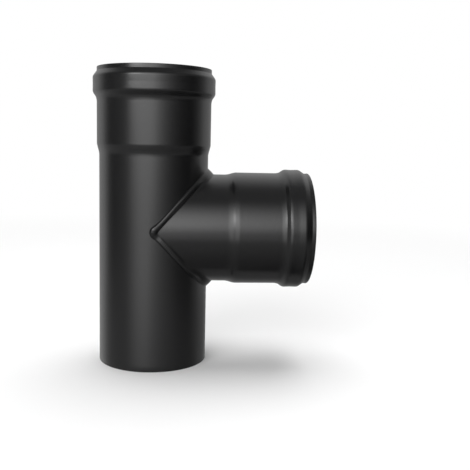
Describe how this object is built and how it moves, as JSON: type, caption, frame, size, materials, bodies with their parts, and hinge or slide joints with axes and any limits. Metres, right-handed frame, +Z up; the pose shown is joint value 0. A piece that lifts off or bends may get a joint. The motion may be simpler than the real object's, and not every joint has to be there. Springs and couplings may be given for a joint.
{
  "type": "stove pipe tee",
  "caption": "Right-angle tee for a stove flue: a straight pipe with a plain lower end, a beaded socket on top and the same socket on a side branch welded to it.",
  "frame": {"origin": "centre of the spigot's cut end, on the surface that the tee stands on", "axes": "+Z up the run pipe, out of its socket; +X along the branch, out of its socket"},
  "size_m": [0.1601, 0.0892, 0.216],
  "materials": {
    "enamel": "satin black stove enamel on steel",
    "seal": "matt black silicone"
  },
  "bodies": {
    "root": {"run_tube": "enamel", "branch_tube": "enamel", "weld_seam": "enamel", "run_seal": "seal", "branch_seal": "seal"}
  },
  "joints": []
}
